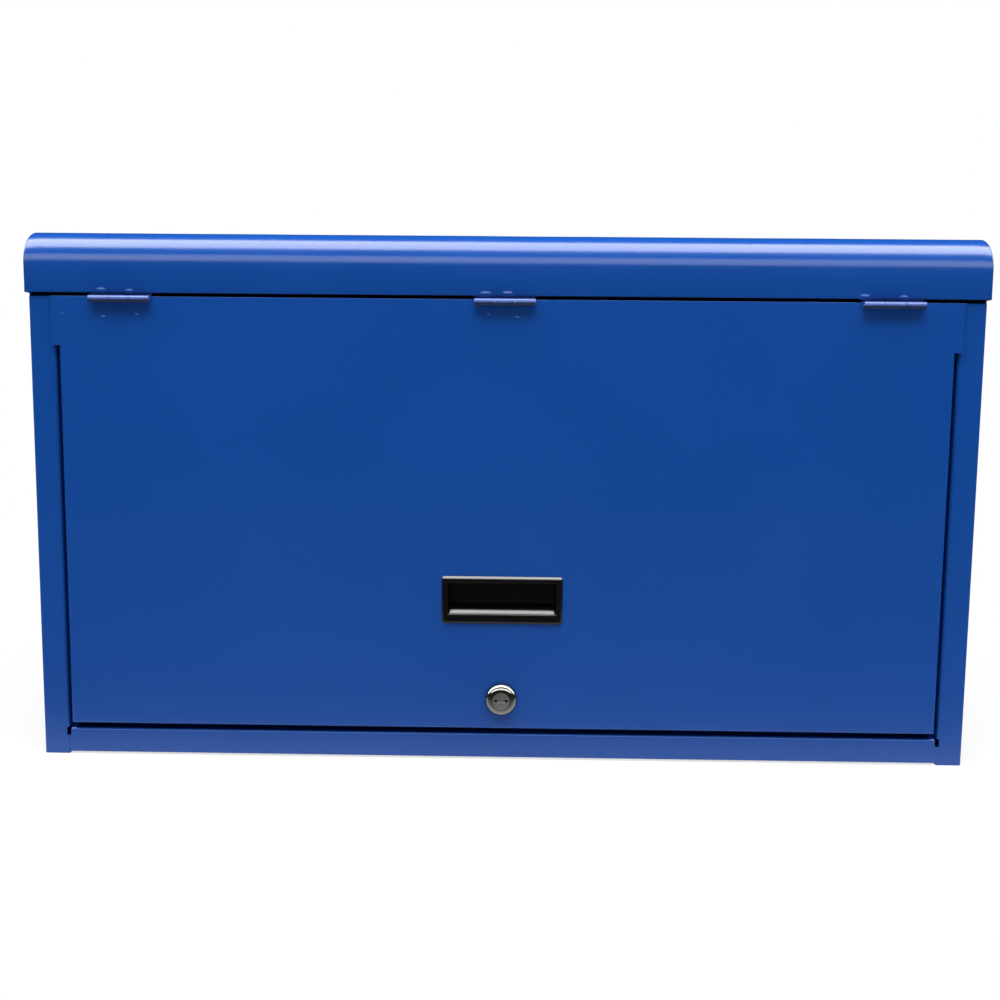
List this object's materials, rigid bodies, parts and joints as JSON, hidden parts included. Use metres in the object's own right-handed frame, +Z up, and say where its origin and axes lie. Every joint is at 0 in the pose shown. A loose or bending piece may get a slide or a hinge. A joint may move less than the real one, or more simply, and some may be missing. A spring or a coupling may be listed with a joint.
{
  "type": "drawer tool chest",
  "caption": "Sheet steel tool chest with a rolled-edge lid, a lockable front panel hung from the lid, drawers on runners and an open till above them.",
  "frame": {"origin": "on the floor, at the middle of the box that holds the whole chest", "axes": "+X to the right as seen from the front, +Y from the front to the back, +Z up"},
  "size_m": [0.6862, 0.316, 0.372],
  "materials": {
    "blue_paint": "satin powder coat",
    "black_plastic": "moulded, semi-gloss",
    "chrome": "bright plated",
    "zinc_steel": "zinc plated",
    "aluminium": "anodised, brushed",
    "rubber": "ribbed matt"
  },
  "bodies": {
    "case": {"left_side": "blue_paint", "right_side": "blue_paint", "back_panel": "blue_paint", "base_pan": "blue_paint", "front_sill": "blue_paint", "till_tray": "blue_paint", "left_runner_panel": "blue_paint", "right_runner_panel": "blue_paint", "left_runners": "zinc_steel", "right_runners": "zinc_steel", "stay_studs": "zinc_steel", "rear_hinge_case_leaves": "blue_paint", "left_handle_plate": "zinc_steel", "right_handle_plate": "zinc_steel", "handle_rivets": "zinc_steel"},
    "lid": {"lid_skin": "blue_paint", "lid_left_end": "blue_paint", "lid_right_end": "blue_paint", "front_hinge_lid_leaves": "blue_paint", "front_hinge_pins": "zinc_steel", "rear_hinge_lid_leaves": "blue_paint", "rear_hinge_pins": "zinc_steel", "stay_brackets": "zinc_steel", "stay_rivets": "zinc_steel"},
    "lid_stay_left": {"left_lid_stay": "zinc_steel"},
    "lid_stay_right": {"right_lid_stay": "zinc_steel"},
    "front_panel": {"front_panel": "blue_paint", "panel_head": "blue_paint", "front_hinge_panel_leaves": "blue_paint", "pull_handle": "black_plastic", "lock_housing": "chrome", "lock_nut": "zinc_steel"},
    "lock_plug": {"lock_plug": "chrome", "lock_cam": "zinc_steel", "cam_screw": "zinc_steel"},
    "handle_left": {"left_handle_bail": "zinc_steel", "left_handle_grip": "black_plastic"},
    "handle_right": {"right_handle_bail": "zinc_steel", "right_handle_grip": "black_plastic"},
    "drawer_1": {"drawer_1_tray": "blue_paint", "drawer_1_pull": "aluminium", "drawer_1_rails": "zinc_steel", "drawer_1_liner": "rubber"},
    "drawer_2": {"drawer_2_tray": "blue_paint", "drawer_2_pull": "aluminium", "drawer_2_rails": "zinc_steel", "drawer_2_liner": "rubber"},
    "drawer_3": {"drawer_3_tray": "blue_paint", "drawer_3_pull": "aluminium", "drawer_3_rails": "zinc_steel", "drawer_3_liner": "rubber"},
    "drawer_4": {"drawer_4_tray": "blue_paint", "drawer_4_pull": "aluminium", "drawer_4_rails": "zinc_steel", "drawer_4_liner": "rubber"}
  },
  "joints": [
    {"name": "lid_hinge", "type": "hinge", "parent": "case", "child": "lid", "pos_m": [0, 0.1555, 0.32725], "axis": [-1, 0, 0], "range_deg": [0, 95]},
    {"name": "panel_hinge", "type": "hinge", "parent": "lid", "child": "front_panel", "pos_m": [0, -0.1548, 0.3239], "axis": [-1, 0, 0], "range_deg": [0, 180]},
    {"name": "lock_turn", "type": "hinge", "parent": "front_panel", "child": "lock_plug", "pos_m": [0, -0.152, 0.045], "axis": [0, 1, 0], "range_deg": [0, 90]},
    {"name": "left_stay_pivot", "type": "hinge", "parent": "lid", "child": "lid_stay_left", "pos_m": [-0.324, 0.10237, 0.34148], "axis": [-1, 0, 0], "range_deg": [-48, 0]},
    {"name": "right_stay_pivot", "type": "hinge", "parent": "lid", "child": "lid_stay_right", "pos_m": [0.324, 0.10237, 0.34148], "axis": [-1, 0, 0], "range_deg": [-48, 0]},
    {"name": "left_handle_swing", "type": "hinge", "parent": "case", "child": "handle_left", "pos_m": [-0.3371, 0.0005, 0.232], "axis": [0, 1, 0], "range_deg": [0, 95]},
    {"name": "right_handle_swing", "type": "hinge", "parent": "case", "child": "handle_right", "pos_m": [0.3371, 0.0005, 0.232], "axis": [0, -1, 0], "range_deg": [0, 95]},
    {"name": "drawer_1_slide", "type": "slide", "parent": "case", "child": "drawer_1", "axis": [0, -1, 0], "range_m": [0, 0.2]},
    {"name": "drawer_2_slide", "type": "slide", "parent": "case", "child": "drawer_2", "axis": [0, -1, 0], "range_m": [0, 0.2]},
    {"name": "drawer_3_slide", "type": "slide", "parent": "case", "child": "drawer_3", "axis": [0, -1, 0], "range_m": [0, 0.2]},
    {"name": "drawer_4_slide", "type": "slide", "parent": "case", "child": "drawer_4", "axis": [0, -1, 0], "range_m": [0, 0.2]}
  ],
  "couplings": [
    {"joint": "left_stay_pivot", "follows": "lid_hinge", "ratio": -0.5},
    {"joint": "right_stay_pivot", "follows": "lid_hinge", "ratio": -0.5},
    {"joint": "drawer_1_slide", "follows": "panel_hinge", "m_per_rad": 0.040724},
    {"joint": "drawer_2_slide", "follows": "panel_hinge", "m_per_rad": 0.048363},
    {"joint": "drawer_3_slide", "follows": "panel_hinge", "m_per_rad": 0.056003},
    {"joint": "drawer_4_slide", "follows": "panel_hinge", "m_per_rad": 0.063642}
  ]
}
